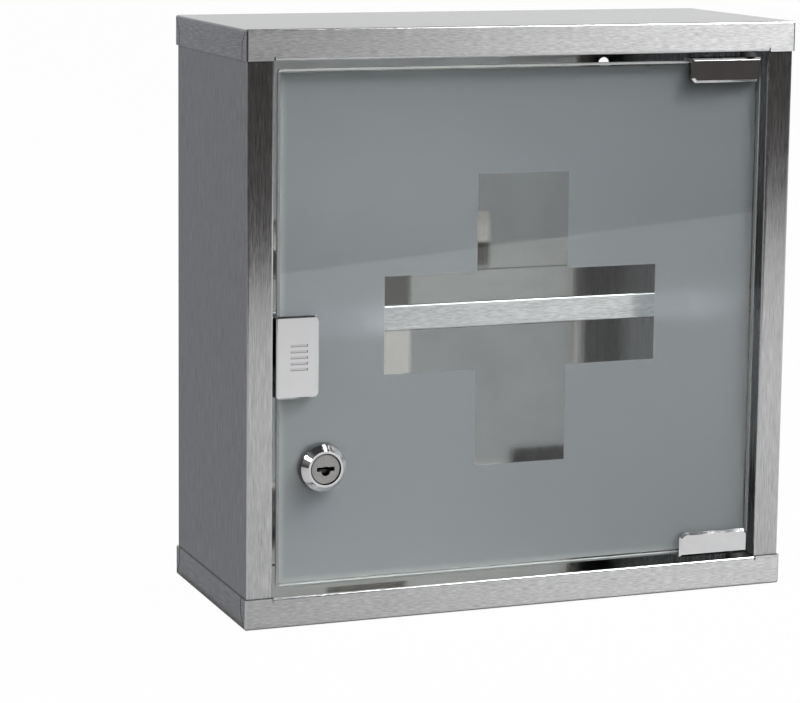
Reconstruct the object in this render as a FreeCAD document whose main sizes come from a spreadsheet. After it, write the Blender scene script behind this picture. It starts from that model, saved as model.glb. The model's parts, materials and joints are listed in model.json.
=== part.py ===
import FreeCAD, Part
import math
import operator
import os
import Sketcher
from FreeCAD import Placement, Rotation, Vector

# Wall cabinet of folded steel sheet with one shelf and a frosted glass door.
# Millimetres. X runs to the right, Y to the back, Z up.
# The origin is in the middle of the base, which stands at Z 0.

sizes = {
    # Case: two folded caps over two folded side panels.
    "case_width": 300.0,
    "case_depth": 120.0,
    "case_height": 300.0,
    "sheet_thickness": 0.8,
    "bend_inside": 0.4,
    "tuck_gap": 0.1,
    "cap_height": 15.6,
    "lip_depth": 12.0,
    "lip_gap": 0.3,
    "relief_width": 0.8,
    "relief_height": 2.0,
    "tab_width": 6.4,
    "tab_height": 8.0,
    "seam_gap": 0.7,
    "post_width": 13.9,
    "post_return": 13.0,
    "rear_flange": 12.0,
    "wall_hole_radius": 3.3,
    "wall_hole_spacing": 195.8,
    "wall_hole_offset": 2.2,
    "wall_hole_margin": 29.7,
    # Shelf on two angle brackets.
    "shelf_height": 158.5,
    "shelf_setback": 16.5,
    "shelf_lip": 13.5,
    "shelf_hem": 6.0,
    "shelf_side_gap": 0.3,
    "shelf_back_gap": 0.5,
    "bracket_leg": 10.0,
    "bracket_sheet": 1.2,
    "bracket_length": 80.0,
    "bracket_setback": 8.0,
    # Glass door with a frosted film, clear over a cross.
    "glass_thickness": 4.0,
    "glass_setback": 3.0,
    "glass_corner": 2.0,
    "glass_arris": 1.2,
    "door_side_gap": 2.8,
    "door_end_gap": 4.2,
    "film_thickness": 0.15,
    "film_margin": 2.0,
    "cross_span": 150.0,
    "cross_arm": 50.0,
    # Hinge clips, their pads, screws, pins and bushes.
    "clip_width": 40.0,
    "clip_height": 12.8,
    "clip_front": 2.2,
    "clip_rear": 2.5,
    "clip_web": 1.2,
    "clip_edge_gap": 0.2,
    "clip_inset": 1.4,
    "clip_corner": 2.2,
    "clip_bevel": 1.3,
    "pad_thickness": 0.4,
    "pad_margin": 1.0,
    "pin_radius": 2.0,
    "pin_inset": 7.2,
    "pin_clearance": 0.05,
    "press_gap": 0.02,
    "hinge_play": 0.3,
    "bush_radius": 3.2,
    "bush_flange_radius": 4.4,
    "bush_tail": 3.0,
    "grub_radius": 2.0,
    "grub_proud": 0.3,
    "grub_socket": 1.1,
    "grub_socket_depth": 1.4,
    # Push plate on the free edge of the glass.
    "strike_height": 41.6,
    "strike_reach": 21.5,
    "strike_front": 1.6,
    "strike_rear": 1.6,
    "strike_web": 1.2,
    "strike_edge_gap": 0.2,
    "strike_corner": 3.0,
    "strike_bend": 1.0,
    "strike_bevel": 0.9,
    "strike_grub_rise": 14.0,
    "groove_length": 9.0,
    "groove_width": 1.2,
    "groove_pitch": 3.0,
    "groove_depth": 0.4,
    # Push latch on a bracket under the shelf.
    "latch_length": 40.0,
    "latch_width": 16.0,
    "latch_height": 14.0,
    "latch_drop": 0.9,
    "latch_inset": 11.4,
    "latch_end_wall": 3.0,
    "latch_rounding": 1.0,
    "latch_gap": 0.3,
    "lug_length": 12.0,
    "lug_reach": 8.0,
    "lug_thickness": 2.5,
    "lug_setback": 10.0,
    "latch_bracket_margin": 4.0,
    "latch_bracket_drop": 18.0,
    "latch_screw_radius": 1.6,
    "latch_screw_head_radius": 2.9,
    "latch_screw_head_height": 1.6,
    "latch_screw_tail": 2.0,
    "plunger_radius": 4.2,
    "plunger_clearance": 0.08,
    "plunger_out": 5.0,
    "plunger_length": 24.0,
    "magnet_radius": 3.2,
    "magnet_thickness": 2.5,
    "magnet_proud": 0.2,
    "spring_radius": 3.6,
    "spring_wire": 0.7,
    # Cam lock through the glass.
    "lock_inset": 24.3,
    "lock_rise": 60.3,
    "lock_hole_gap": 0.3,
    "bezel_radius": 12.0,
    "bezel_face_radius": 9.2,
    "bezel_height": 4.2,
    "bezel_skirt": 0.9,
    "barrel_radius": 8.8,
    "barrel_tail": 4.0,
    "gasket_thickness": 0.4,
    "gasket_radius": 11.4,
    "washer_radius": 12.6,
    "washer_thickness": 0.8,
    "nut_flats": 22.0,
    "nut_thickness": 3.5,
    "plug_head_radius": 7.6,
    "plug_head_gap": 0.45,
    "plug_head_depth": 2.2,
    "plug_recess": 0.5,
    "plug_radius": 6.8,
    "plug_clearance": 0.05,
    "plug_rounding": 0.4,
    "key_slot_length": 9.4,
    "key_slot_width": 2.1,
    "key_slot_depth": 11.5,
    "key_bump_radius": 2.4,
    "wafer_length": 11.2,
    "wafer_height": 5.6,
    "wafer_thickness": 0.9,
    "wafer_pitch": 2.0,
    "wafer_gap": 0.1,
    "wafer_window_length": 7.0,
    "wafer_window_height": 1.5,
    "cam_length": 36.0,
    "cam_head": 8.0,
    "cam_width": 14.0,
    "cam_thickness": 1.8,
    "cam_corner": 5.0,
    "cam_gap": 0.1,
    "tang_side": 6.4,
    "tang_gap": 0.05,
    "cam_screw_radius": 2.0,
    "cam_screw_depth": 5.0,
    "cam_screw_head_radius": 4.6,
    "cam_screw_head_height": 2.2,
    # How far a cut runs past the face that it opens.
    "overrun": 1.0,
}
hinge_screw_shares = (0.28, 0.66)
strike_groove_count = 5
wafer_count = 4
hexagon_share = 1 / math.sqrt(3)

doc = FreeCAD.newDocument("medicine_cabinet")
sheet = doc.addObject("Spreadsheet::Sheet", "Sizes")
for row, (name, value) in enumerate(sizes.items(), start=1):
    sheet.set(f"A{row}", name.replace("_", " "))
    sheet.set(f"B{row}", str(value))
    sheet.setAlias(f"B{row}", name)
doc.recompute()


# A length keeps its value together with the sheet formula that gives it.
class Length:
    def __init__(self, value, formula):
        self.value = value
        self.formula = formula

    def __add__(self, other):
        return worked_out(operator.add, "+", self, other)

    def __radd__(self, other):
        return worked_out(operator.add, "+", other, self)

    def __sub__(self, other):
        return worked_out(operator.sub, "-", self, other)

    def __rsub__(self, other):
        return worked_out(operator.sub, "-", other, self)

    def __mul__(self, other):
        return worked_out(operator.mul, "*", self, other)

    def __rmul__(self, other):
        return worked_out(operator.mul, "*", other, self)

    def __truediv__(self, other):
        return worked_out(operator.truediv, "/", self, other)

    def __neg__(self):
        return worked_out(operator.sub, "-", 0, self)


def as_length(number):
    if isinstance(number, Length):
        return number
    return Length(number, str(number))


def worked_out(rule, sign, first, second):
    first = as_length(first)
    second = as_length(second)
    return Length(rule(first.value, second.value), f"({first.formula} {sign} {second.formula})")


class Names:
    def __init__(self, lengths):
        self.__dict__.update(lengths)


s = Names({name: Length(sheet.get(name), f"Sizes.{name}") for name in sizes})
nodes = []
close = 1e-4


def bind(thing, prop, length):
    thing.setExpression(prop, as_length(length).formula)


def place(thing, x=0, y=0, z=0, rotation=None):
    if rotation is not None:
        thing.Placement = Placement(Vector(), rotation)
    bind(thing, "Placement.Base.x", x)
    bind(thing, "Placement.Base.y", y)
    bind(thing, "Placement.Base.z", z)


def keep(thing, label):
    thing.Label = label
    nodes.append(thing)
    doc.recompute()
    return thing


# Bodies: sketches on the body's own planes, then pads, cuts and rounded edges.
upward = {"XY_Plane": 1, "XZ_Plane": -1, "YZ_Plane": 1}
z_to_y = Rotation(Vector(1, 0, 0), -90)
half_turn_about_y = Rotation(Vector(0, 1, 0), 180)


def new_body(label):
    body = doc.addObject("PartDesign::Body", label)
    return keep(body, label)


def origin_plane(body, role):
    return next(feature for feature in body.Origin.OriginFeatures if feature.Role == role)


def hold(sketch, kind, geometry, point, length):
    length = as_length(length)
    rule = Sketcher.Constraint(kind, -1, 1, geometry, point, length.value)
    index = sketch.addConstraint(rule)
    sketch.setExpression(f"Constraints[{index}]", length.formula)


def draw(body, plane, outlines=(), circles=(), at=0):
    sketch = body.newObject("Sketcher::SketchObject", f"{body.Label}_sketch")
    sketch.AttachmentSupport = (origin_plane(body, plane), "")
    sketch.MapMode = "FlatFace"
    bind(sketch, "AttachmentOffset.Base.z", as_length(at) * upward[plane])
    for points in outlines:
        first = sketch.GeometryCount
        corners = [Vector(as_length(x).value, as_length(y).value, 0) for x, y in points]
        for start, end in zip(corners, corners[1:] + corners[:1]):
            sketch.addGeometry(Part.LineSegment(start, end), False)
        for step, (x, y) in enumerate(points):
            following = first + (step + 1) % len(points)
            sketch.addConstraint(Sketcher.Constraint("Coincident", first + step, 2, following, 1))
            hold(sketch, "DistanceX", first + step, 1, x)
            hold(sketch, "DistanceY", first + step, 1, y)
    for x, y, radius in circles:
        centre = Vector(as_length(x).value, as_length(y).value, 0)
        ring = sketch.addGeometry(Part.Circle(centre, Vector(0, 0, 1), radius.value), False)
        hold(sketch, "DistanceX", ring, 3, x)
        hold(sketch, "DistanceY", ring, 3, y)
        index = sketch.addConstraint(Sketcher.Constraint("Radius", ring, radius.value))
        sketch.setExpression(f"Constraints[{index}]", radius.formula)
    sketch.Visibility = False
    return sketch


def rectangle(x0, x1, y0, y1):
    return [(x0, y0), (x1, y0), (x1, y1), (x0, y1)]


# Toward is 1 or -1 along the axis that the sketch faces, or 0 for both ways.
def pad(body, plane, length, toward=1, **drawing):
    sketch = draw(body, plane, **drawing)
    feature = body.newObject("PartDesign::Pad", f"{body.Label}_pad")
    feature.Profile = sketch
    feature.SideType = "Symmetric" if toward == 0 else "One side"
    feature.Reversed = toward * upward[plane] < 0
    bind(feature, "Length", length)
    doc.recompute()
    return feature


def cut(body, plane, length, toward=1, **drawing):
    before = body.Shape.Volume
    sketch = draw(body, plane, **drawing)
    feature = body.newObject("PartDesign::Pocket", f"{body.Label}_cut")
    feature.Profile = sketch
    feature.SideType = "Symmetric" if toward == 0 else "One side"
    feature.Reversed = toward * upward[plane] > 0
    bind(feature, "Length", length)
    doc.recompute()
    if not body.Shape.Volume < before:
        raise RuntimeError(f"a cut in {body.Label} removes nothing")
    return feature


def turn(body, plane, points):
    sketch = draw(body, plane, outlines=[points])
    feature = body.newObject("PartDesign::Revolution", f"{body.Label}_turned")
    feature.Profile = sketch
    feature.ReferenceAxis = (sketch, ["V_Axis"])
    feature.Angle = 360
    doc.recompute()
    return feature


def mirror(body, feature, role):
    mirrored = body.newObject("PartDesign::Mirrored", f"{body.Label}_mirrored")
    mirrored.Originals = [feature]
    mirrored.MirrorPlane = (origin_plane(body, role), [""])
    body.Tip = mirrored
    doc.recompute()
    return mirrored


def edge_names(shape, chosen):
    return [f"Edge{number}" for number, edge in enumerate(shape.Edges, start=1) if chosen(edge)]


def dress(body, kind, prop, size, chosen):
    base = body.Tip
    names = edge_names(base.Shape, chosen)
    if not names:
        raise RuntimeError(f"no edge to dress on {body.Label}")
    feature = body.newObject(f"PartDesign::{kind}", f"{body.Label}_{kind.lower()}")
    feature.Base = (base, names)
    bind(feature, prop, size)
    doc.recompute()
    return feature


def fillet(body, radius, chosen):
    return dress(body, "Fillet", "Radius", radius, chosen)


def chamfer(body, size, chosen):
    return dress(body, "Chamfer", "Size", size, chosen)


def near(first, second):
    return abs(first - as_length(second).value) < close


# Picks the straight edges that cross a plane at the given places.
def edges_at(axis, *places):
    across = {"X": ("Y", "Z"), "Y": ("X", "Z"), "Z": ("X", "Y")}[axis]

    def chosen(edge):
        box = edge.BoundBox
        if max(getattr(box, f"{name}Length") for name in across) > close:
            return False
        spot = [getattr(box.Center, name.lower()) for name in across]
        return any(near(spot[0], first) and near(spot[1], second) for first, second in places)

    return chosen


# Picks the edges that lie in one plane.
def edges_in(axis, level):
    def chosen(edge):
        box = edge.BoundBox
        return near(getattr(box, f"{axis}Min"), level) and near(getattr(box, f"{axis}Max"), level)

    return chosen


# Plain blocks, rods and rings.
def block(label, x, y, z):
    box = doc.addObject("Part::Box", label)
    bind(box, "Length", x[1] - x[0])
    bind(box, "Width", y[1] - y[0])
    bind(box, "Height", z[1] - z[0])
    place(box, x[0], y[0], z[0])
    doc.recompute()
    return box


def rod(label, radius, length, start=0):
    cylinder = doc.addObject("Part::Cylinder", label)
    bind(cylinder, "Radius", radius)
    bind(cylinder, "Height", length)
    place(cylinder, z=start)
    return cylinder


def hexagon(label, flats, length, start=0):
    prism = doc.addObject("Part::Prism", label)
    prism.Polygon = 6
    bind(prism, "Circumradius", flats * hexagon_share)
    bind(prism, "Height", length)
    place(prism, z=start)
    return prism


def carved(label, solid, tool):
    result = doc.addObject("Part::Cut", label)
    result.Base = solid
    result.Tool = tool
    doc.recompute()
    return result


def ring(label, outer, inner, length):
    bore = rod(f"{label}_bore", inner, length + 2 * s.overrun, -s.overrun)
    return carved(label, rod(f"{label}_outside", outer, length), bore)


# Places that several pieces share.
front = -s.case_depth / 2
back = s.case_depth / 2
bend_outside = s.bend_inside + s.sheet_thickness
side_outer = s.case_width / 2 - s.sheet_thickness - s.tuck_gap
side_inner = side_outer - s.sheet_thickness
opening_half = side_outer - s.post_width
post_front = front + s.sheet_thickness + s.tuck_gap
post_back = post_front + s.post_return
panel_low = bend_outside
panel_high = s.case_height - bend_outside
rear_flange_back = back - s.sheet_thickness - s.tuck_gap
back_panel_rear = rear_flange_back - s.sheet_thickness - s.tuck_gap
back_panel_front = back_panel_rear - s.sheet_thickness
lip_half = opening_half - s.lip_gap

glass_half = opening_half - s.door_side_gap
glass_low = s.cap_height + s.door_end_gap
glass_high = s.case_height - s.cap_height - s.door_end_gap
glass_front = front + s.glass_setback
glass_middle = glass_front + s.glass_thickness / 2
glass_back = glass_front + s.glass_thickness
door_back = glass_back + s.film_thickness
door_centre = s.case_height / 2
pin_x = glass_half - s.pin_inset
clip_x = glass_half - s.clip_inset - s.clip_width / 2
lock_x = s.lock_inset - glass_half
lock_z = glass_low + s.lock_rise

shelf_front = front + s.shelf_setback
shelf_back = back_panel_front - s.shelf_back_gap
shelf_low = s.shelf_height - s.shelf_lip
latch_x = s.latch_inset - glass_half
latch_z = shelf_low - s.latch_drop - s.latch_height / 2
strike_back = door_back + s.pad_thickness + s.strike_rear
latch_front = strike_back + s.latch_gap + s.plunger_out


# Tray with its open side at local Z 0 and a folded lip along the front.
def folded_cap(label, pin_side):
    body = new_body(label)
    half_width = s.case_width / 2
    inner_half = half_width - s.sheet_thickness
    inner_front = front + s.sheet_thickness
    ceiling = s.cap_height - s.sheet_thickness

    outside = rectangle(-half_width, half_width, front, back)
    pad(body, "XY_Plane", s.cap_height, outlines=[outside])
    fillet(body, bend_outside, lambda edge: edge.BoundBox.ZMax > close)
    inside = rectangle(-inner_half, inner_half, inner_front, -inner_front)
    cut(body, "XY_Plane", ceiling, outlines=[inside])

    def inner_bend(edge):
        box = edge.BoundBox
        across = max(abs(box.XMin), abs(box.XMax)) < inner_half.value + close
        along = max(abs(box.YMin), abs(box.YMax)) < -inner_front.value + close
        return across and along and close < box.ZMax < ceiling.value + close

    fillet(body, s.bend_inside, inner_bend)

    lip = rectangle(-lip_half, lip_half, front, front + s.lip_depth)
    pad(body, "XY_Plane", s.sheet_thickness, outlines=[lip])
    notch_end = lip_half + s.relief_width
    notch_y = (front - s.overrun, inner_front + s.bend_inside)
    notches = [rectangle(lip_half, notch_end, *notch_y), rectangle(-notch_end, -lip_half, *notch_y)]
    cut(body, "XY_Plane", s.relief_height, outlines=notches)
    fillet(body, s.bend_inside, edges_at("X", (inner_front, s.sheet_thickness)))

    def lip_bend(edge):
        return edges_at("X", (front, 0))(edge) and edge.BoundBox.XLength > lip_half.value

    fillet(body, bend_outside, lip_bend)
    bush_hole = (pin_side * pin_x, glass_middle, s.bush_radius + s.press_gap)
    cut(body, "XY_Plane", s.sheet_thickness + 2 * s.overrun, circles=[bush_hole], at=-s.overrun)

    # Each corner tab is parted from the side flange by a bent slit.
    def slit(edge_y, inward):
        start = edge_y + inward * bend_outside
        knee = edge_y + inward * s.tab_width
        gap = inward * s.seam_gap
        top = s.cap_height - bend_outside
        return [
            (start, top), (start + gap, top), (knee + gap, s.tab_height),
            (knee + gap, -s.overrun), (knee, -s.overrun), (knee, s.tab_height),
        ]

    slits = cut(
        body, "YZ_Plane", s.sheet_thickness + 2 * s.overrun, toward=-1,
        outlines=[slit(front, 1), slit(back, -1)], at=half_width + s.overrun,
    )
    mirror(body, slits, "YZ_Plane")
    return body


# Wall, front post with its return, and rear flange, folded from one sheet.
def folded_side(label, side):
    body = new_body(label)
    outer = side * side_outer
    inner = side * side_inner
    post_inner = side * opening_half
    post_hidden = side * (opening_half + s.sheet_thickness)
    flange_end = side * (side_outer - s.rear_flange)
    post_rear_face = post_front + s.sheet_thickness
    flange_front = rear_flange_back - s.sheet_thickness
    profile = [
        (outer, post_front), (post_inner, post_front), (post_inner, post_back),
        (post_hidden, post_back), (post_hidden, post_rear_face), (inner, post_rear_face),
        (inner, flange_front), (flange_end, flange_front), (flange_end, rear_flange_back),
        (outer, rear_flange_back),
    ]
    pad(body, "XY_Plane", panel_high - panel_low, outlines=[profile])
    inner_bends = [(inner, post_rear_face), (inner, flange_front), (post_hidden, post_rear_face)]
    outer_bends = [(outer, post_front), (outer, rear_flange_back), (post_inner, post_front)]
    fillet(body, s.bend_inside, edges_at("Z", *inner_bends))
    fillet(body, bend_outside, edges_at("Z", *outer_bends))
    place(body, z=panel_low)


top_cap = folded_cap("top_cap", 1)
place(top_cap, z=s.case_height - s.cap_height)
bottom_cap = folded_cap("bottom_cap", -1)
place(bottom_cap, z=s.cap_height, rotation=half_turn_about_y)
folded_side("left_side_panel", -1)
folded_side("right_side_panel", 1)


def back_panel():
    body = new_body("back_panel")
    half = side_inner - s.tuck_gap
    outline = rectangle(-half, half, panel_low, panel_high)
    pad(body, "XZ_Plane", s.sheet_thickness, outlines=[outline])
    levels = (s.wall_hole_margin, s.case_height - s.wall_hole_margin)
    holes = [
        (side * s.wall_hole_spacing / 2 - s.wall_hole_offset, level, s.wall_hole_radius)
        for side in (-1, 1) for level in levels
    ]
    cut(body, "XZ_Plane", s.sheet_thickness + 2 * s.overrun, circles=holes, at=-s.overrun)
    place(body, y=back_panel_front)


def shelf():
    body = new_body("shelf")
    top = s.shelf_height
    underside = top - s.sheet_thickness
    lip_rear = shelf_front + s.sheet_thickness
    hem_end = shelf_front + s.shelf_hem
    hem_top = shelf_low + s.sheet_thickness
    profile = [
        (shelf_front, top), (shelf_back, top), (shelf_back, underside), (lip_rear, underside),
        (lip_rear, hem_top), (hem_end, hem_top), (hem_end, shelf_low), (shelf_front, shelf_low),
    ]
    width = 2 * (side_inner - s.shelf_side_gap)
    pad(body, "YZ_Plane", width, toward=0, outlines=[profile])
    fillet(body, s.bend_inside, edges_at("X", (lip_rear, underside), (lip_rear, hem_top)))
    fillet(body, bend_outside, edges_at("X", (shelf_front, top), (shelf_front, shelf_low)))


# Angle with one leg on the side wall and the other under the shelf.
def shelf_bracket(label, side):
    body = new_body(label)
    wall = side * side_inner
    wall_leg_face = side * (side_inner - s.bracket_sheet)
    tip = side * (side_inner - s.bracket_leg)
    top = s.shelf_height - s.sheet_thickness
    profile = [
        (wall, top), (tip, top), (tip, top - s.bracket_sheet),
        (wall_leg_face, top - s.bracket_sheet),
        (wall_leg_face, top - s.bracket_leg), (wall, top - s.bracket_leg),
    ]
    pad(body, "XZ_Plane", s.bracket_length, outlines=[profile])
    place(body, y=shelf_front + s.bracket_setback)


back_panel()
shelf()
shelf_bracket("left_shelf_bracket", -1)
shelf_bracket("right_shelf_bracket", 1)


def door_glass():
    body = new_body("door_glass")
    outline = rectangle(-glass_half, glass_half, glass_low, glass_high)
    pad(body, "XZ_Plane", s.glass_thickness, outlines=[outline])
    corners = [(x, z) for x in (-glass_half, glass_half) for z in (glass_low, glass_high)]
    fillet(body, s.glass_corner, edges_at("Y", *corners))

    def rim(edge):
        return edges_in("Y", 0)(edge) or edges_in("Y", s.glass_thickness)(edge)

    chamfer(body, s.glass_arris, rim)
    hole = (lock_x, lock_z, s.barrel_radius + s.lock_hole_gap)
    cut(body, "XZ_Plane", s.glass_thickness + 2 * s.overrun, circles=[hole], at=-s.overrun)
    place(body, y=glass_front)


# Frosted layer on the inner face, with a window in the shape of a cross.
def frosted_film():
    body = new_body("frosted_film")
    half = glass_half - s.film_margin
    outline = rectangle(-half, half, glass_low + s.film_margin, glass_high - s.film_margin)
    pad(body, "XZ_Plane", s.film_thickness, outlines=[outline])
    reach = s.cross_span / 2
    arm = s.cross_arm / 2
    cross = [
        (-arm, reach), (arm, reach), (arm, arm), (reach, arm), (reach, -arm), (arm, -arm),
        (arm, -reach), (-arm, -reach), (-arm, -arm), (-reach, -arm), (-reach, arm), (-arm, arm),
    ]
    window = [(x, door_centre + z) for x, z in cross]
    depth = s.film_thickness + 2 * s.overrun
    cut(body, "XZ_Plane", depth, outlines=[window], at=-s.overrun)
    hole = (lock_x, lock_z, s.barrel_radius + s.lock_hole_gap)
    cut(body, "XZ_Plane", depth, circles=[hole], at=-s.overrun)
    place(body, y=glass_back)


door_glass()
frosted_film()


# Headless screw with a hexagon socket, seated on a pad at local Z 0.
def grub_screw(label, jaw, x, y, z):
    length = jaw + s.grub_proud
    socket = hexagon(f"{label}_socket", 2 * s.grub_socket, s.grub_socket_depth + s.overrun,
                     length - s.grub_socket_depth)
    screw = carved(label, rod(f"{label}_rod", s.grub_radius - s.press_gap, length), socket)
    place(screw, x, y, z, z_to_y)
    keep(screw, label)


# Hinge at one end of the glass: local Z 0 is the glass edge, up points out of the glass.
def hinge(name, up, edge_z):
    jaw_front = -s.glass_thickness / 2 - s.pad_thickness
    face_front = jaw_front - s.clip_front
    pad_rear = s.glass_thickness / 2 + s.film_thickness
    jaw_rear = pad_rear + s.pad_thickness
    face_rear = jaw_rear + s.clip_rear
    web_in = up * s.clip_edge_gap
    web_out = up * (s.clip_edge_gap + s.clip_web)
    tip = web_out - up * s.clip_height

    clip = new_body(f"{name}_hinge_clip")
    profile = [
        (face_front, web_out), (face_rear, web_out), (face_rear, tip), (jaw_rear, tip),
        (jaw_rear, web_in), (jaw_front, web_in), (jaw_front, tip), (face_front, tip),
    ]
    pad(clip, "YZ_Plane", s.clip_width, toward=0, outlines=[profile])
    half = s.clip_width / 2
    chamfer(clip, s.clip_corner, edges_at("Y", (-half, tip), (half, tip)))
    chamfer(clip, s.clip_bevel, edges_in("Y", face_front))
    pin_hole = (pin_x - clip_x, 0, s.pin_radius + s.press_gap)
    cut(clip, "XY_Plane", s.clip_web + 2 * s.overrun, toward=0, circles=[pin_hole],
        at=(web_in + web_out) / 2)
    screw_x = [(share - 1 / 2) * s.clip_width for share in hinge_screw_shares]
    screw_z = tip / 2
    screw_holes = [(x, screw_z, s.grub_radius) for x in screw_x]
    cut(clip, "XZ_Plane", s.clip_rear + 2 * s.overrun, circles=screw_holes, at=jaw_rear - s.overrun)
    place(clip, clip_x, glass_middle, edge_z)

    pad_x = (clip_x - half + s.clip_corner, clip_x + half - s.clip_corner)
    ends = (edge_z, edge_z + tip + up * s.pad_margin)
    pad_z = ends if up < 0 else ends[::-1]
    front_y = (glass_middle + jaw_front, glass_front)
    rear_y = (door_back, door_back + s.pad_thickness)
    keep(block(f"{name}_hinge_front_pad", pad_x, front_y, pad_z), f"{name}_hinge_front_pad")
    keep(block(f"{name}_hinge_rear_pad", pad_x, rear_y, pad_z), f"{name}_hinge_rear_pad")
    for number, x in enumerate(screw_x, start=1):
        grub_screw(f"{name}_hinge_screw_{number}", s.clip_rear, clip_x + x,
                   glass_middle + jaw_rear, edge_z + screw_z)

    bush_seat = up * s.door_end_gap
    bush_end = up * (s.door_end_gap + s.sheet_thickness + s.bush_tail)
    pin = new_body(f"{name}_hinge_pin")
    turn(pin, "XZ_Plane", rectangle(0, s.pin_radius, web_in, bush_end))
    place(pin, pin_x, glass_middle, edge_z)

    bush = new_body(f"{name}_hinge_bush")
    bore = s.pin_radius + s.pin_clearance
    flange_end = web_out + up * s.hinge_play
    turn(bush, "XZ_Plane", [
        (bore, flange_end), (s.bush_flange_radius, flange_end), (s.bush_flange_radius, bush_seat),
        (s.bush_radius, bush_seat), (s.bush_radius, bush_end), (bore, bush_end),
    ])
    place(bush, pin_x, glass_middle, edge_z)


hinge("top", 1, glass_high)
hinge("bottom", -1, glass_low)


# Folded plate round the free edge of the glass, pressed by hand and held by the latch.
def strike():
    body = new_body("strike_plate")
    jaw_front = -s.glass_thickness / 2 - s.pad_thickness
    face_front = jaw_front - s.strike_front
    jaw_rear = s.glass_thickness / 2 + s.film_thickness + s.pad_thickness
    face_rear = jaw_rear + s.strike_rear
    web_in = -s.strike_edge_gap
    web_out = web_in - s.strike_web
    reach = s.strike_reach
    half = s.strike_height / 2
    profile = [
        (web_out, face_front), (reach, face_front), (reach, jaw_front), (web_in, jaw_front),
        (web_in, jaw_rear), (reach, jaw_rear), (reach, face_rear), (web_out, face_rear),
    ]
    pad(body, "XY_Plane", s.strike_height, toward=0, outlines=[profile])
    fillet(body, s.strike_corner, edges_at("Y", (reach, -half), (reach, half)))
    fillet(body, s.strike_bend, edges_at("Z", (web_out, face_front), (web_out, face_rear)))
    chamfer(body, s.strike_bevel, edges_in("Y", face_front))
    middle = reach / 2
    grooves = []
    for number in range(strike_groove_count):
        level = (number - (strike_groove_count - 1) / 2) * s.groove_pitch
        grooves.append(rectangle(
            middle - s.groove_length / 2, middle + s.groove_length / 2,
            level - s.groove_width / 2, level + s.groove_width / 2,
        ))
    cut(body, "XZ_Plane", s.groove_depth + s.overrun, outlines=grooves, at=face_front - s.overrun)
    screw_levels = (-s.strike_grub_rise, s.strike_grub_rise)
    holes = [(s.latch_inset, level, s.grub_radius) for level in screw_levels]
    cut(body, "XZ_Plane", s.strike_rear + 2 * s.overrun, circles=holes, at=jaw_rear - s.overrun)
    place(body, -glass_half, glass_middle, latch_z)

    pad_x = (-glass_half, reach - glass_half - s.pad_margin)
    pad_z = (latch_z - half + s.strike_corner, latch_z + half - s.strike_corner)
    front_y = (glass_middle + jaw_front, glass_front)
    rear_y = (door_back, door_back + s.pad_thickness)
    keep(block("strike_front_pad", pad_x, front_y, pad_z), "strike_front_pad")
    keep(block("strike_rear_pad", pad_x, rear_y, pad_z), "strike_rear_pad")
    for number, level in enumerate(screw_levels, start=1):
        grub_screw(f"strike_screw_{number}", s.strike_rear, latch_x, glass_middle + jaw_rear,
                   latch_z + level)


strike()

# The latch: local Y 0 is the front of its body, on the plunger's axis.
latch_base = -s.latch_height / 2
lug_x = s.latch_width / 2 + s.lug_reach
lug_screw_x = s.latch_width / 2 + s.lug_reach / 2
lug_screw_y = s.lug_setback + s.lug_length / 2
plunger_front = s.magnet_proud - s.plunger_out
plunger_back = plunger_front + s.plunger_length
bore_depth = s.latch_length - s.latch_end_wall


def latch_body():
    body = new_body("latch_body")
    half_width = s.latch_width / 2
    outline = rectangle(-half_width, half_width, latch_base, -latch_base)
    pad(body, "XZ_Plane", s.latch_length, outlines=[outline])
    corners = [(side * half_width, -latch_base) for side in (-1, 1)]
    fillet(body, s.latch_rounding, edges_at("Y", *corners))
    lugs = rectangle(-lug_x, lug_x, s.lug_setback, s.lug_setback + s.lug_length)
    pad(body, "XY_Plane", s.lug_thickness, outlines=[lugs], at=latch_base)
    bore = (0, 0, s.plunger_radius + s.plunger_clearance)
    cut(body, "XZ_Plane", bore_depth + s.overrun, circles=[bore], at=-s.overrun)
    hole_radius = s.latch_screw_radius + s.press_gap
    holes = [(side * lug_screw_x, lug_screw_y, hole_radius) for side in (-1, 1)]
    cut(body, "XY_Plane", s.lug_thickness + 2 * s.overrun, circles=holes, at=latch_base - s.overrun)
    place(body, latch_x, latch_front, latch_z)


# Angle on the left wall that carries the latch.
def latch_bracket():
    body = new_body("latch_bracket")
    wall = -side_inner - latch_x
    tip = lug_x
    top = latch_base
    under = top - s.bracket_sheet
    leg_face = wall + s.bracket_sheet
    foot = top - s.latch_bracket_drop
    profile = [
        (wall, top), (tip, top), (tip, under), (leg_face, under), (leg_face, foot), (wall, foot),
    ]
    length = s.lug_length + 2 * s.latch_bracket_margin
    setback = s.lug_setback - s.latch_bracket_margin
    pad(body, "XZ_Plane", length, outlines=[profile], at=setback)
    hole_radius = s.latch_screw_radius + s.press_gap
    holes = [(side * lug_screw_x, lug_screw_y, hole_radius) for side in (-1, 1)]
    cut(body, "XY_Plane", s.bracket_sheet + 2 * s.overrun, circles=holes, at=under - s.overrun)
    place(body, latch_x, latch_front, latch_z)


def latch_screw(label, side):
    body = new_body(label)
    head_low = latch_base + s.lug_thickness
    head_high = head_low + s.latch_screw_head_height
    end = latch_base - s.bracket_sheet - s.latch_screw_tail
    turn(body, "XZ_Plane", [
        (0, end), (s.latch_screw_radius, end), (s.latch_screw_radius, head_low),
        (s.latch_screw_head_radius, head_low), (s.latch_screw_head_radius, head_high),
        (0, head_high),
    ])
    place(body, latch_x + side * lug_screw_x, latch_front + lug_screw_y, latch_z)


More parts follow.
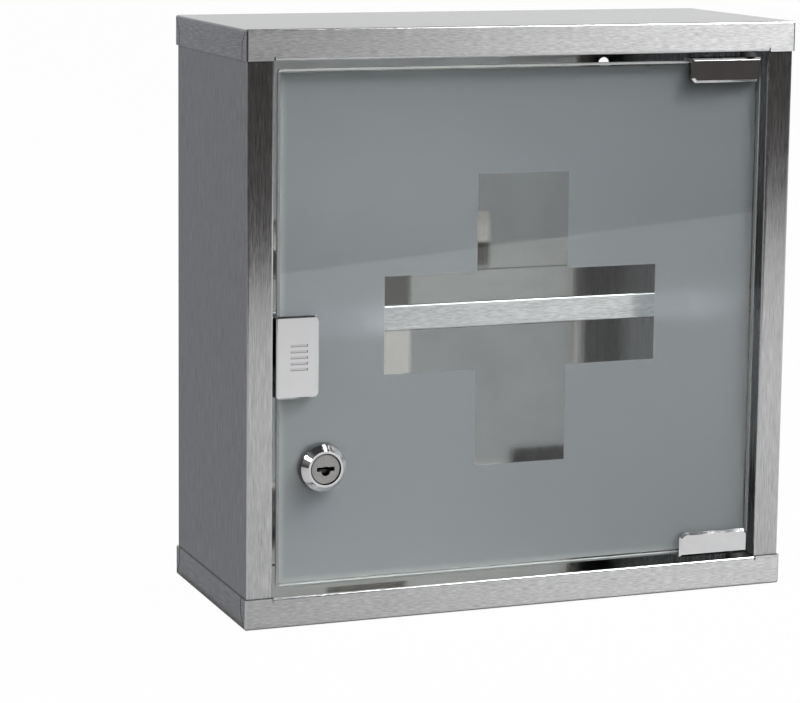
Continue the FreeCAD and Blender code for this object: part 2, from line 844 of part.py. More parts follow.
def latch_plunger():
    body = new_body("latch_plunger")
    pocket_radius = s.magnet_radius + s.press_gap
    pocket_end = plunger_front - s.magnet_proud + s.magnet_thickness
    turn(body, "XY_Plane", [
        (0, pocket_end), (pocket_radius, pocket_end), (pocket_radius, plunger_front),
        (s.plunger_radius, plunger_front), (s.plunger_radius, plunger_back), (0, plunger_back),
    ])
    place(body, latch_x, latch_front, latch_z)
    magnet = rod("latch_magnet", s.magnet_radius, s.magnet_thickness)
    place(magnet, latch_x, latch_front - s.plunger_out, latch_z, z_to_y)
    keep(magnet, "latch_magnet")


def latch_spring():
    length = bore_depth - plunger_back
    spring = ring("latch_spring", s.spring_radius, s.spring_radius - s.spring_wire, length)
    place(spring, latch_x, latch_front + plunger_back, latch_z, z_to_y)
    keep(spring, "latch_spring")


latch_body()
latch_bracket()
latch_screw("latch_screw_1", -1)
latch_screw("latch_screw_2", 1)
latch_plunger()
latch_spring()

# The lock: local Y 0 is the front face of the glass, on the lock's axis.
bezel_base = -s.gasket_thickness
bezel_front = bezel_base - s.bezel_height
head_seat = bezel_front + s.plug_recess + s.plug_head_depth
washer_front = s.glass_thickness + s.film_thickness
nut_front = washer_front + s.washer_thickness
barrel_back = nut_front + s.nut_thickness + s.barrel_tail
cam_front = barrel_back + s.cam_gap
cam_back = cam_front + s.cam_thickness
wafer_start = head_seat + s.wafer_pitch / 2


def lock_barrel():
    body = new_body("lock_barrel")
    bore = s.plug_radius + s.plug_clearance
    head_bore = s.plug_head_radius + s.plug_head_gap
    turn(body, "XY_Plane", [
        (bore, barrel_back), (s.barrel_radius, barrel_back), (s.barrel_radius, bezel_base),
        (s.bezel_radius, bezel_base), (s.bezel_radius, bezel_base - s.bezel_skirt),
        (s.bezel_face_radius, bezel_front), (head_bore, bezel_front),
        (head_bore, head_seat + s.plug_clearance), (bore, head_seat + s.plug_clearance),
    ])
    place(body, lock_x, glass_front, lock_z)


def lock_rings():
    hole = s.barrel_radius + s.press_gap
    gasket = ring("lock_gasket", s.gasket_radius, hole, s.gasket_thickness)
    place(gasket, lock_x, glass_front + bezel_base, lock_z, z_to_y)
    keep(gasket, "lock_gasket")
    washer = ring("lock_washer", s.washer_radius, hole, s.washer_thickness)
    place(washer, lock_x, glass_front + washer_front, lock_z, z_to_y)
    keep(washer, "lock_washer")
    bore = rod("lock_nut_bore", hole, s.nut_thickness + 2 * s.overrun, -s.overrun)
    nut = carved("lock_nut", hexagon("lock_nut_outside", s.nut_flats, s.nut_thickness), bore)
    place(nut, lock_x, glass_front + nut_front, lock_z, z_to_y)
    keep(nut, "lock_nut")


def wafer_levels():
    return [wafer_start + number * s.wafer_pitch for number in range(wafer_count)]


# Turned plug with a key slot, slots for the wafers and a square tang for the cam.
def lock_plug():
    body = new_body("lock_plug")
    face = bezel_front + s.plug_recess
    turn(body, "XY_Plane", [
        (0, face), (s.plug_head_radius, face), (s.plug_head_radius, head_seat),
        (s.plug_radius, head_seat), (s.plug_radius, barrel_back), (0, barrel_back),
    ])
    rim_reach = s.plug_head_radius.value - close

    def face_rim(edge):
        return edges_in("Y", face)(edge) and edge.BoundBox.XMax > rim_reach

    fillet(body, s.plug_rounding, face_rim)
    tang = s.tang_side / 2
    tang_length = s.cam_gap + s.cam_thickness - s.tang_gap
    pad(body, "XZ_Plane", tang_length, outlines=[rectangle(-tang, tang, -tang, tang)],
        at=barrel_back)
    half_slot = s.key_slot_length / 2
    half_width = s.key_slot_width / 2
    slot = rectangle(-half_slot, half_slot, -half_width, half_width)
    slot_cut = s.key_slot_depth + s.overrun
    cut(body, "XZ_Plane", slot_cut, outlines=[slot], at=face - s.overrun)
    bump = (0, -half_width, s.key_bump_radius)
    cut(body, "XZ_Plane", slot_cut, circles=[bump], at=face - s.overrun)
    reach = s.wafer_length / 2 + s.wafer_gap
    room = [
        rectangle(-reach, reach, level - s.wafer_gap, level + s.wafer_thickness + s.wafer_gap)
        for level in wafer_levels()
    ]
    cut(body, "XY_Plane", s.wafer_height + 2 * s.wafer_gap, toward=0, outlines=room)
    screw_hole = (0, 0, s.cam_screw_radius + s.press_gap)
    cut(body, "XZ_Plane", s.cam_screw_depth + s.overrun, toward=-1, circles=[screw_hole],
        at=cam_back + s.overrun)
    place(body, lock_x, glass_front, lock_z)


def lock_wafer(label, level):
    y = (glass_front + level, glass_front + level + s.wafer_thickness)
    window_y = (y[0] - s.overrun, y[1] + s.overrun)
    plate = block(
        f"{label}_plate", (lock_x - s.wafer_length / 2, lock_x + s.wafer_length / 2), y,
        (lock_z - s.wafer_height / 2, lock_z + s.wafer_height / 2),
    )
    window = block(
        f"{label}_window",
        (lock_x - s.wafer_window_length / 2, lock_x + s.wafer_window_length / 2), window_y,
        (lock_z - s.wafer_window_height / 2, lock_z + s.wafer_window_height / 2),
    )
    keep(carved(label, plate, window), label)


# Flat bar that hangs down unlocked and turns behind the left post.
def lock_cam():
    body = new_body("lock_cam")
    half = s.cam_width / 2
    outline = rectangle(-half, half, -s.cam_length, s.cam_head)
    pad(body, "XZ_Plane", s.cam_thickness, outlines=[outline], at=cam_front)
    corners = [(x, z) for x in (-half, half) for z in (-s.cam_length, s.cam_head)]
    fillet(body, s.cam_corner, edges_at("Y", *corners))
    hole = s.tang_side / 2 + s.tang_gap
    cut(body, "XZ_Plane", s.cam_thickness + 2 * s.overrun,
        outlines=[rectangle(-hole, hole, -hole, hole)], at=cam_front - s.overrun)
    place(body, lock_x, glass_front, lock_z)


def lock_cam_screw():
    body = new_body("lock_cam_screw")
    tip = cam_back - s.cam_screw_depth + s.tang_gap
    head_back = cam_back + s.cam_screw_head_height
    turn(body, "XY_Plane", [
        (0, tip), (s.cam_screw_radius, tip), (s.cam_screw_radius, cam_back),
        (s.cam_screw_head_radius, cam_back), (s.cam_screw_head_radius, head_back), (0, head_back),
    ])
    place(body, lock_x, glass_front, lock_z)


lock_barrel()
lock_rings()
lock_plug()
for number, level in enumerate(wafer_levels(), start=1):
    lock_wafer(f"lock_wafer_{number}", level)
lock_cam()
lock_cam_screw()

doc.recompute()
for thing in doc.Objects:
    if "Invalid" in thing.State or "Error" in thing.State:
        raise RuntimeError(f"{thing.Label} did not build: {thing.State}")
for node in nodes:
    if node.Shape.isNull() or not node.Shape.isValid():
        raise RuntimeError(f"{node.Label} has no valid shape")

os.makedirs("parts", exist_ok=True)
for node in nodes:
    node.Shape.exportStep(f"parts/{node.Label}.step")
    print(node.Label, len(node.Shape.Solids), round(node.Shape.Volume, 2))
print(len(nodes), "nodes")
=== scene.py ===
import json
import math

import bmesh
import bpy
from mathutils import Matrix, Vector


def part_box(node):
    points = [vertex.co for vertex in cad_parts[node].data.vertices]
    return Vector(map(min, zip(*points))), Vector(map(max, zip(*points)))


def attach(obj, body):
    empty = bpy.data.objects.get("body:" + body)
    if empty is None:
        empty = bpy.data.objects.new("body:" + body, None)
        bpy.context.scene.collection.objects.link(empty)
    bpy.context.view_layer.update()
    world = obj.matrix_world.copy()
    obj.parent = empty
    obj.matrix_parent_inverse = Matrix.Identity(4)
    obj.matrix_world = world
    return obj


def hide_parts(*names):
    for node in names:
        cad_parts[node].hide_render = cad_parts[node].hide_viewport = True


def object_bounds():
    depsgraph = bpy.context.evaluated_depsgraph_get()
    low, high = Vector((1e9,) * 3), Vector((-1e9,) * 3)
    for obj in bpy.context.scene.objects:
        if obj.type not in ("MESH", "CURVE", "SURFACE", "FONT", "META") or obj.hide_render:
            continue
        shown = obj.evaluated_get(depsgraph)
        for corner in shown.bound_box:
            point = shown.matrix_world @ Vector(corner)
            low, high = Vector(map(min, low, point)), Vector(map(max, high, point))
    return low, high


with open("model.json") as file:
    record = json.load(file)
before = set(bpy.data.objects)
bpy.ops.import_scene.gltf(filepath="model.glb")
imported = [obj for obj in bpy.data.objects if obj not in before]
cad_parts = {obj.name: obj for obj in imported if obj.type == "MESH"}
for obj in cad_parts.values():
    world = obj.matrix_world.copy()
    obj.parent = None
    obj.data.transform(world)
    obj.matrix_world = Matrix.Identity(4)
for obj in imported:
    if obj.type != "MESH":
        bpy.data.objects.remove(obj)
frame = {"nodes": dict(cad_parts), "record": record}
nodes = frame["nodes"]
cadBox = [list(corner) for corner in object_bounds()]
print("frame loaded,", len(nodes), "nodes")


# A wire is a shader socket that takes part in plain sums.
class Wire:
    def __init__(self, tree, socket):
        self.tree = tree
        self.socket = socket

    def maths(self, operation, first, second):
        return addNode(self.tree, "ShaderNodeMath", {"operation": operation}, {0: first, 1: second})

    def __add__(self, other):
        return self.maths("ADD", self, other)

    def __sub__(self, other):
        return self.maths("SUBTRACT", self, other)

    def __rsub__(self, other):
        return self.maths("SUBTRACT", other, self)

    def __mul__(self, other):
        return self.maths("MULTIPLY", self, other)

    __radd__ = __add__
    __rmul__ = __mul__


def feed(tree, socket, value):
    if isinstance(value, Wire):
        tree.links.new(value.socket, socket)
    else:
        socket.default_value = value


def addNode(tree, kind, settings=None, inputs=None, output=0):
    node = tree.nodes.new(kind)
    for name, value in (settings or {}).items():
        setattr(node, name, value)
    for name, value in (inputs or {}).items():
        feed(tree, node.inputs[name], value)
    return Wire(tree, node.outputs[output])


def newFinish(name):
    finish = bpy.data.materials.new(name)
    finish.use_nodes = True
    finish.node_tree.nodes.clear()
    return finish, finish.node_tree


def close(tree, shader, end="Material"):
    tree.links.new(shader.socket, tree.nodes.new(f"ShaderNodeOutput{end}").inputs["Surface"])


# The last node of every finish: one Principled shader.
def surface(tree, values):
    close(tree, addNode(tree, "ShaderNodeBsdfPrincipled", None, values))


def noiseOn(tree, scale=1, detail=3, roughness=0.6, stretch=(1, 1, 1)):
    place = addNode(tree, "ShaderNodeTexCoord", None, None, "Object")
    place = addNode(tree, "ShaderNodeMapping", None, {"Vector": place, "Scale": stretch})
    return addNode(tree, "ShaderNodeTexNoise", None,
                   {"Vector": place, "Scale": scale, "Detail": detail, "Roughness": roughness})


# Noise stays mostly between these two values, and the occlusion value of an open place, for the painted
# crevice shade, between the next two.
spans = {"noise": (0.3, 0.7), "crevice": (0.25, 0.9)}


def spread(tree, value, low, high, span="noise"):
    start, stop = spans[span]
    return addNode(tree, "ShaderNodeMapRange", None,
                   {"Value": value, "From Min": start, "From Max": stop, "To Min": low, "To Max": high})


def ease(tree, value, low, high):
    return addNode(tree, "ShaderNodeMapRange", {"interpolation_type": "SMOOTHSTEP"},
                   {"Value": value, "From Min": low, "From Max": high})


def blend(tree, factor, first, second):
    return addNode(tree, "ShaderNodeMix", {"data_type": "RGBA"},
                   {0: factor, 6: first, 7: second}, 2)


# A pattern takes a finish from its dark colour to its light one, and from its low roughness to its high one.
def tone(tree, pattern, look):
    return blend(tree, spread(tree, pattern, 0, 1), look["dark"], look["light"])


def roughen(tree, pattern, look):
    return spread(tree, pattern, look["low"], look["high"])


# Painted shade: ambient occlusion darkens the base colour in seams, corners and recesses, where shade falls.
creviceSamples = 4


def paintCreviceShade(tree, colour, look):
    crevice = addNode(tree, "ShaderNodeAmbientOcclusion", {"samples": creviceSamples},
                      {"Distance": look["paintedShadeReach"]}, "AO")
    paintedShade = spread(tree, crevice, look["paintedSeamShade"], 1.0, "crevice")
    return addNode(tree, "ShaderNodeVectorMath", {"operation": "SCALE"}, {0: colour, "Scale": paintedShade})


def bump(tree, height, strength, depth=0.0002):
    return addNode(tree, "ShaderNodeBump", None, {"Height": height, "Strength": strength, "Distance": depth})


# Rolled sheet brushed along one axis: long fine scratches, soft bands and a stretched gleam.
brushed = {
    "dark": (0.42, 0.42, 0.425, 1), "light": (0.78, 0.78, 0.785, 1),
    "fineAlong": {"X": 220, "Y": 110, "Z": 100}, "fineAcross": 2100, "bandAlong": 25, "bandAcross": 650,
    "scratchShare": 0.85, "bandShare": 0.15, "scratch": 0.2,
    "rough": {"X": (0.34, 0.44), "Y": (0.17, 0.25), "Z": (0.15, 0.22), "T": (0.13, 0.20), "L": (0.28, 0.36)},
    "anisotropy": 0.85, "turn": 0.25,
    # These two set the reach and the darkest level of the painted crevice shade.
    "paintedShadeReach": 0.0016, "paintedSeamShade": 0.15,
}


def brushedFinish(letter, axis):
    finish, tree = newFinish(f"brushedSheet{letter}")
    along = "XYZ".index(axis)
    fine = [brushed["fineAcross"]] * 3
    fine[along] = brushed["fineAlong"][axis]
    wide = [brushed["bandAcross"]] * 3
    wide[along] = brushed["bandAlong"]
    scratches = noiseOn(tree, stretch=fine)
    bands = noiseOn(tree, detail=2, roughness=0.5, stretch=wide)
    mixed = scratches * brushed["scratchShare"] + bands * brushed["bandShare"]
    grain = [0.0, 0.0, 0.0]
    grain[along] = 1.0
    direction = addNode(tree, "ShaderNodeCombineXYZ", None, dict(zip("XYZ", grain)))
    surface(tree, {
        # The base colour carries painted crevice shade.
        "Base Color": paintCreviceShade(tree, tone(tree, mixed, brushed), brushed),
        "Metallic": 1.0,
        "Roughness": spread(tree, mixed, *brushed["rough"][letter]),
        "Anisotropic": brushed["anisotropy"],
        "Anisotropic Rotation": brushed["turn"],
        "Tangent": direction,
        "Normal": bump(tree, scratches, brushed["scratch"]),
    })
    return finish


# Smooth mill finish on the inside of the back: nearly a mirror, with a faint cloud.
# The inner faces of the folded sheets are duller, and painted darker as shade inside the cabinet.
smooth = {
    "smoothSheet": {"dark": (0.63, 0.612, 0.585, 1), "light": (0.71, 0.692, 0.665, 1),
                    "low": 0.05, "high": 0.09},
    # Rougher, and painted darker: the shade of the cabinet's inside painted onto its inner faces.
    "dullPaintedShadeSheet": {"dark": (0.35, 0.36, 0.385, 1), "light": (0.41, 0.42, 0.445, 1),
                  "low": 0.22, "high": 0.32},
    "cloud": 30, "streak": (900, 900, 12), "wave": 0.02,
    # These two set the reach and the darkest level of the painted crevice shade.
    "paintedShadeReach": 0.0012, "paintedSeamShade": 0.15,
}


def smoothFinish(name):
    look = smooth[name]
    finish, tree = newFinish(name)
    cloud = noiseOn(tree, smooth["cloud"], detail=4)
    streak = noiseOn(tree, roughness=0.5, stretch=smooth["streak"])
    surface(tree, {
        # The base colour carries painted crevice shade.
        "Base Color": paintCreviceShade(tree, tone(tree, cloud, look), smooth),
        "Metallic": 1.0,
        "Roughness": roughen(tree, streak, look),
        "Normal": bump(tree, streak, smooth["wave"]),
    })
    return finish


# Bends, where the press has rubbed the brushing off.
bend = {"dark": (0.62, 0.62, 0.625, 1), "light": (0.72, 0.72, 0.725, 1), "low": 0.12, "high": 0.22,
        "cloud": 400, "pits": 0.04}


def bendFinish():
    finish, tree = newFinish("burnishedBend")
    cloud = noiseOn(tree, bend["cloud"])
    surface(tree, {
        # The base colour carries painted crevice shade.
        "Base Color": paintCreviceShade(tree, tone(tree, cloud, bend), brushed),
        "Metallic": 1.0,
        "Roughness": roughen(tree, cloud, bend),
        "Normal": bump(tree, cloud, bend["pits"]),
    })
    return finish


# Plated and bare metals differ only in colour, gloss and how cloudy they are.
metals = {
    "chrome": {"dark": (0.85, 0.85, 0.86, 1), "light": (0.91, 0.91, 0.92, 1),
               "low": 0.04, "high": 0.10, "cloud": 120, "pits": 0.01},
    "satinNickel": {"dark": (0.46, 0.455, 0.445, 1), "light": (0.58, 0.575, 0.56, 1),
                    "low": 0.30, "high": 0.42, "cloud": 1400, "pits": 0.08},
    "zincPlate": {"dark": (0.48, 0.49, 0.50, 1), "light": (0.62, 0.63, 0.64, 1),
                  "low": 0.24, "high": 0.40, "cloud": 500, "pits": 0.05},
    "nickelSilver": {"dark": (0.30, 0.285, 0.25, 1), "light": (0.42, 0.40, 0.36, 1),
                     "low": 0.28, "high": 0.40, "cloud": 700, "pits": 0.05},
    # These two set the reach and the darkest level of the painted crevice shade.
    "paintedShadeReach": 0.005, "paintedSeamShade": 0.08,
}


def metalFinish(name):
    look = metals[name]
    finish, tree = newFinish(name)
    cloud = noiseOn(tree, look["cloud"], detail=4)
    surface(tree, {
        # The base colour carries painted crevice shade.
        "Base Color": paintCreviceShade(tree, tone(tree, cloud, look), metals),
        "Metallic": 1.0,
        "Roughness": roughen(tree, cloud, look),
        "Normal": bump(tree, cloud, look["pits"]),
    })
    return finish


# Moulded and soft pieces: dull, finely textured and slightly uneven in colour.
mouldings = {
    "blackPlastic": {"dark": (0.012, 0.012, 0.013, 1), "light": (0.03, 0.03, 0.032, 1),
                     "low": 0.38, "high": 0.52, "texture": 2500, "depth": 0.12},
    "darkNylon": {"dark": (0.03, 0.03, 0.03, 1), "light": (0.06, 0.06, 0.06, 1),
                  "low": 0.42, "high": 0.55, "texture": 1800, "depth": 0.08},
    "softPad": {"dark": (0.02, 0.02, 0.02, 1), "light": (0.05, 0.05, 0.05, 1),
                "low": 0.7, "high": 0.85, "texture": 2200, "depth": 0.15},
    "ferrite": {"dark": (0.05, 0.05, 0.052, 1), "light": (0.10, 0.10, 0.105, 1),
                "low": 0.5, "high": 0.65, "texture": 3000, "depth": 0.1},
    "cloud": 60,
}


def mouldedFinish(name):
    look = mouldings[name]
    finish, tree = newFinish(name)
    texture = noiseOn(tree, look["texture"])
    cloud = noiseOn(tree, mouldings["cloud"], roughness=0.5)
    surface(tree, {
        "Base Color": tone(tree, cloud, look),
        "Roughness": roughen(tree, texture, look),
        "Normal": bump(tree, texture, look["depth"]),
    })
    return finish


# Float glass with a little green in it, and a faint film of handling marks.
glassLook = {"tint": (0.968, 0.985, 0.98, 1), "low": 0.0, "high": 0.02, "marks": 25, "index": 1.5}


def glassFinish():
    finish, tree = newFinish("clearGlass")
    marks = noiseOn(tree, glassLook["marks"], detail=4)
    shader = addNode(tree, "ShaderNodeBsdfPrincipled", None, {
        "Base Color": glassLook["tint"],
        "Roughness": roughen(tree, marks, glassLook),
        "IOR": glassLook["index"],
        "Transmission Weight": 1.0,
    })
    clear = addNode(tree, "ShaderNodeBsdfTransparent", None, {"Color": glassLook["tint"]})
    shadow = addNode(tree, "ShaderNodeLightPath", None, None, "Is Shadow Ray")
    close(tree, addNode(tree, "ShaderNodeMixShader", None, {0: shadow, 1: shader, 2: clear}))
    return finish


# The edge of the glass, ground and then polished: greenish, and glossy enough to catch the table.
groundEdge = {"dark": (0.48, 0.505, 0.50, 1), "light": (0.58, 0.605, 0.60, 1), "low": 0.10, "high": 0.20,
              "grain": 2600, "pits": 0.1, "depth": 0.0001, "through": 0.35, "gloss": 1.0, "coat": 1.0,
              "coatIndex": 2.2}


def groundFinish():
    finish, tree = newFinish("groundEdge")
    grain = noiseOn(tree, groundEdge["grain"], detail=2, roughness=0.5)
    surface(tree, {
        "Base Color": tone(tree, grain, groundEdge),
        "Roughness": roughen(tree, grain, groundEdge),
        "Specular IOR Level": groundEdge["gloss"],
        "Coat Weight": groundEdge["coat"],
        "Coat IOR": groundEdge["coatIndex"],
        "Transmission Weight": groundEdge["through"],
        "Normal": bump(tree, grain, groundEdge["pits"], groundEdge["depth"]),
    })
    return finish


# Frosting: a dense milky layer with a fine even grain, and a painted lighter band along its edges.
frosting = {"dark": (0.625, 0.655, 0.685, 1), "light": (0.665, 0.695, 0.725, 1),
            # The edge colour is painted light along the film's border.
            "edge": (0.86, 0.88, 0.885, 1), "low": 0.60, "high": 0.74, "grain": 3000, "pits": 0.1,
            "depth": 0.0001, "through": 0.92, "paintedLightWidth": 0.004, "gap": 0.00004, "weld": 0.000001}


def frostedFinish():
    finish, tree = newFinish("frostedLayer")
    grain = noiseOn(tree, frosting["grain"], detail=2, roughness=0.5)
    place = addNode(tree, "ShaderNodeTexCoord", None, None, "Object")
    across, upward = (addNode(tree, "ShaderNodeSeparateXYZ", None, {0: place}, axis) for axis in "XZ")
    low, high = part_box("frosted_film")
    middle, halfWide, halfTall = (low[2] + high[2]) / 2, (high[0] - low[0]) / 2, (high[2] - low[2]) / 2
    sides = addNode(tree, "ShaderNodeMath", {"operation": "ABSOLUTE"}, {0: across}) - halfWide
    ends = addNode(tree, "ShaderNodeMath", {"operation": "ABSOLUTE"}, {0: upward - middle}) - halfTall
    # Painted light: the colour turns to the lighter edge colour within a few millimetres of the film's
    # edges.
    paintedLightBand = ease(tree, sides.maths("MAXIMUM", sides, ends), -frosting["paintedLightWidth"], 0.0)
    surface(tree, {
        "Base Color": blend(tree, paintedLightBand, tone(tree, grain, frosting), frosting["edge"]),
        "Roughness": roughen(tree, grain, frosting),
        "Transmission Weight": frosting["through"],
        "Normal": bump(tree, grain, frosting["pits"], frosting["depth"]),
    })
    return finish


# X, Y and Z are brushed along that axis. T is the caps' flat top, L the shelf's lip, S smooth, D dull
# with painted shade, and B a bend.
sheetFinishes = {
    "X": brushedFinish("X", "X"), "Y": brushedFinish("Y", "Y"), "Z": brushedFinish("Z", "Z"),
    "T": brushedFinish("T", "X"), "L": brushedFinish("L", "X"),
    "S": smoothFinish("smoothSheet"), "D": smoothFinish("dullPaintedShadeSheet"), "B": bendFinish(),
}
finishes = {
    "polished_sheet": sheetFinishes["S"],
    "clear_glass": glassFinish(),
    "frosted_layer": frostedFinish(),
    "chrome": metalFinish("chrome"),
    "satin_nickel": metalFinish("satinNickel"),
    "nickel_silver": metalFinish("nickelSilver"),
    "zinc_steel": metalFinish("zincPlate"),
    "black_plastic": mouldedFinish("blackPlastic"),
    "nylon": mouldedFinish("darkNylon"),
    "soft_pad": mouldedFinish("softPad"),
    "magnet": mouldedFinish("ferrite"),
}
print("finishes made")

# The finish of each sheet piece's front, side and flat faces. The sheet is brushed on one side only, so the
# last two letters are for the flat and the upright faces that look into the cabinet.
flatFace = 0.985
cabinetMiddle = (Vector(cadBox[0]) + Vector(cadBox[1])) / 2
# D gives inner faces the dull sheet with painted shade.
panelGrain = "ZZYDD"
grainOf = {"top_cap": "XYTSD", "bottom_cap": "XYTSD", "shelf": "LYSSS"}


def grainOnFaces(node, grain):
    mesh = node.data
    mesh.materials.clear()
    for finish in sheetFinishes.values():
        mesh.materials.append(finish)
    frontGrain, sideGrain, topGrain, innerFlat, innerUpright = grain
    outer = (sideGrain, frontGrain, topGrain)
    inner = (innerUpright, innerUpright, innerFlat)
    order = list(sheetFinishes)
    for face in mesh.polygons:
        facing = max(range(3), key=lambda step: abs(face.normal[step]))
        looksIn = (face.center[facing] - cabinetMiddle[facing]) * face.normal[facing] < 0
        kind = (inner if looksIn else outer)[facing]
        if abs(face.normal[facing]) < flatFace:
            kind = "B"
        face.material_index = order.index(kind)


for part in frame["record"]["subparts"]:
    node = nodes[part["node"]]
    if part["material_slot"] == "brushed_sheet":
        grainOnFaces(node, grainOf.get(part["node"], panelGrain))
    else:
        node.data.materials.clear()
        node.data.materials.append(finishes[part["material_slot"]])
glass = nodes["door_glass"].data
glass.materials.append(groundFinish())
for face in glass.polygons:
    face.material_index = 0 if abs(face.normal.y) > flatFace else 1
print("finishes on the nodes")


# The frosting, a hair behind the glass.
def buildFrosting():
    mesh = bpy.data.meshes.new("frosting")
    shape = bmesh.new()
    shape.from_mesh(nodes["frosted_film"].data)
    bmesh.ops.remove_doubles(shape, verts=shape.verts, dist=frosting["weld"])
    bmesh.ops.translate(shape, verts=shape.verts, vec=(0, frosting["gap"], 0))
    shape.to_mesh(mesh)
    shape.free()
    mesh.materials.append(finishes["frosted_layer"])
    frostingPiece = bpy.data.objects.new("frosting", mesh)
    bpy.context.scene.collection.objects.link(frostingPiece)
    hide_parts("frosted_film")
    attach(frostingPiece, "door")


buildFrosting()
print("frosting laid")

# Studio: a white table that ends in front of the cabinet, a glowing grey sheet on its left, a pale room
# behind the cabinet and a dim one in front. The edges are where one part of the room fades into the next.
studio = {
    "tableCorners": [(-3.0, 0.248), (2.5, -2.153), (3.0, 9.0), (-4.0, 9.0)],
    "tableNear": (0.41, 0.41, 0.41, 1), "tableFront": (0.29, 0.29, 0.29, 1), "tableGlow": 0.985,
    "sheetCorners": [(-3.0, -0.05), (-0.153, -0.05), (-0.153, 8.9), (-3.9, 8.9)],
    "sheet": (0.232, 0.237, 0.25, 1), "sheetLift": 0.0005,
    "floorFront": (0.06, 0.055, 0.053, 1), "wallFront": (0.17, 0.17, 0.17, 1),
    "wallLeft": (0.35, 0.356, 0.368, 1), "wallBack": (0.77, 0.775, 0.775, 1),
    "wallRight": (0.06, 0.06, 0.062, 1), "ceiling": (0.04, 0.04, 0.041, 1),
    "edges": {"table": (-1.5, -0.3), "floor": (0.02, 0.3), "left": (-0.2, 0.15), "right": (0.68, 0.8),
              "back": (-0.2, 0.4), "ceiling": (0.72, 0.88)},
}


def stageSheet(name, corners, height):
    mesh = bpy.data.meshes.new(name)
    shape = bmesh.new()
    shape.faces.new([shape.verts.new((x, y, height)) for x, y in corners])
    shape.to_mesh(mesh)
    shape.free()
    sheet = bpy.data.objects.new(name, mesh)
    bpy.context.scene.collection.objects.link(sheet)
    return sheet


def fade(tree, edge, value, first, second):
    return blend(tree, ease(tree, value, *studio["edges"][edge]), first, second)


def buildTable():
    table = stageSheet("table", studio["tableCorners"], 0.0)
    finish, tree = newFinish("tableTop")
    glow = addNode(tree, "ShaderNodeEmission", None, {"Color": (1, 1, 1, 1), "Strength": 1.0})
    seen = addNode(tree, "ShaderNodeLightPath", None, None, "Is Camera Ray")
    place = addNode(tree, "ShaderNodeTexCoord", None, None, "Object")
    away = addNode(tree, "ShaderNodeSeparateXYZ", None, {0: place}, "Y")
    shade = fade(tree, "table", away, studio["tableFront"], studio["tableNear"])
    top = addNode(tree, "ShaderNodeBsdfDiffuse", None, {"Color": shade})
    close(tree, addNode(tree, "ShaderNodeMixShader", None, {0: seen * studio["tableGlow"], 1: top, 2: glow}))
    table.data.materials.append(finish)

    # The grey sheet glows evenly instead of being lit, so no shadow falls on it; the camera and diffuse
    # light don't see it.
    sheet = stageSheet("greySheet", studio["sheetCorners"], studio["sheetLift"])
    finish, tree = newFinish("greyGlowSheet")
    close(tree, addNode(tree, "ShaderNodeEmission", None, {"Color": studio["sheet"], "Strength": 1.0}))
    sheet.data.materials.append(finish)
    sheet.visible_camera = False
    sheet.visible_diffuse = False
    sheet.visible_shadow = False


def buildRoom():
    world = bpy.data.worlds.new("room")
    bpy.context.scene.world = world
    world.use_nodes = True
    tree = world.node_tree
    tree.nodes.clear()
    direction = addNode(tree, "ShaderNodeTexCoord", None, None, "Generated")
    right, back, above = (
        addNode(tree, "ShaderNodeSeparateXYZ", None, {0: direction}, axis) for axis in "XYZ")
    front = fade(tree, "floor", above, studio["floorFront"], studio["wallFront"])
    behind = fade(tree, "left", right, studio["wallLeft"], studio["wallBack"])
    behind = fade(tree, "right", right, behind, studio["wallRight"])
    room = fade(tree, "back", back, front, behind)
    room = fade(tree, "ceiling", above, room, studio["ceiling"])
    lit = addNode(tree, "ShaderNodeBackground", None, {"Color": room, "Strength": 1.0})
    white = addNode(tree, "ShaderNodeBackground", None, {"Color": (1, 1, 1, 1), "Strength": 1.0})
    seen = addNode(tree, "ShaderNodeLightPath", None, None, "Is Camera Ray")
    close(tree, addNode(tree, "ShaderNodeMixShader", None, {0: seen, 1: lit, 2: white}), "World")


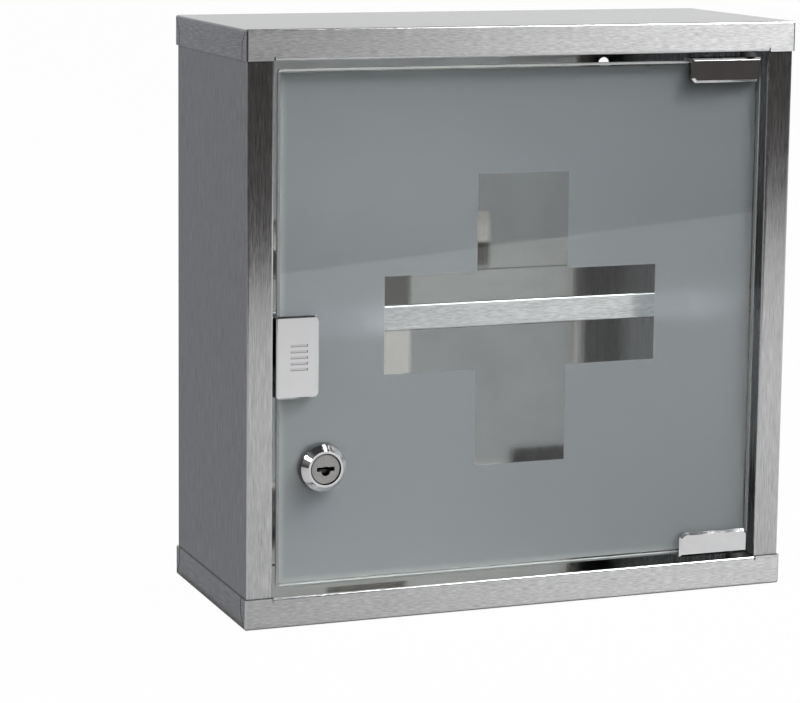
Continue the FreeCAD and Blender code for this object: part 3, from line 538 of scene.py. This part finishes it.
# Lamps, in metres and watts. The ones that aren't mirrored light the scene without showing in the metal.
lamps = {
    "overhead": {"place": (0, -0.3, 1.9), "aim": (0, 0, 0), "size": (1.8, 1.4), "power": 12,
                 "mirrored": False},
    "rightBox": {"place": (1.34, -1.0, 1.79), "aim": (0, 0, 0.2), "size": (1.2, 0.8), "power": 57,
                 "mirrored": True},
    "upperStrip": {"place": (0.62, -0.165, 1.7), "aim": (0.62, -0.165, 0.7), "size": (0.9, 0.05),
                   "power": 0.5, "mirrored": True},
    "lowerStrip": {"place": (0.64, -0.5, 1.7), "aim": (0.64, -0.5, 0.7), "size": (0.5, 0.13),
                   "power": 0.63, "mirrored": True},
    "fill": {"place": (1.0, -2.1, 1.9), "aim": (0, 0, 0.15), "size": (2.6, 2.2), "power": 40,
             "mirrored": False},
    "leftLamp": {"place": (-1.73, -0.56, 1.12), "aim": (-0.1, -0.06, 0.08), "size": (0.24, 0.4),
                 "power": 2.5, "mirrored": True},
}


def addLamp(name, place, aim, size, power, mirrored):
    data = bpy.data.lights.new(name, "AREA")
    data.shape = "RECTANGLE"
    data.size, data.size_y = size
    data.energy = power
    light = bpy.data.objects.new(name, data)
    bpy.context.scene.collection.objects.link(light)
    light.visible_glossy = mirrored
    light.location = place
    light.rotation_euler = (Vector(aim) - Vector(place)).to_track_quat("-Z", "Y").to_euler()


buildTable()
buildRoom()
for name, look in lamps.items():
    addLamp(name, **look)
print("studio lit")

# Camera measured from the picture: pixels of an 800 by 703 image, metres and degrees in the frame.
shot = {
    "width": 800, "height": 703, "focal": 2827.0, "centre": (360.0, 271.5),
    "place": (-0.572, -1.362, 0.389), "yaw": 20.3, "pitch": 8.6, "roll": 0.50, "sensor": 36.0,
}


def aimCamera():
    yaw, pitch, roll = (math.radians(shot[name]) for name in ("yaw", "pitch", "roll"))
    ahead = Vector((math.sin(yaw) * math.cos(pitch), math.cos(yaw) * math.cos(pitch), -math.sin(pitch)))
    right = ahead.cross(Vector((0, 0, 1))).normalized()
    up = right.cross(ahead)
    across = right * math.cos(roll) + up * math.sin(roll)
    upward = up * math.cos(roll) - right * math.sin(roll)
    turn = Matrix((across, upward, -ahead)).transposed()
    data = bpy.data.cameras.new("shot")
    data.sensor_width = shot["sensor"]
    data.lens = shot["focal"] / shot["width"] * shot["sensor"]
    data.shift_x = (shot["width"] / 2 - shot["centre"][0]) / shot["width"]
    data.shift_y = (shot["centre"][1] - shot["height"] / 2) / shot["width"]
    camera = bpy.data.objects.new("shot", data)
    bpy.context.scene.collection.objects.link(camera)
    camera.matrix_world = Matrix.Translation(shot["place"]) @ turn.to_4x4()
    bpy.context.scene.camera = camera


aimCamera()
bpy.context.scene.view_settings.view_transform = "Standard"
print("camera aimed")
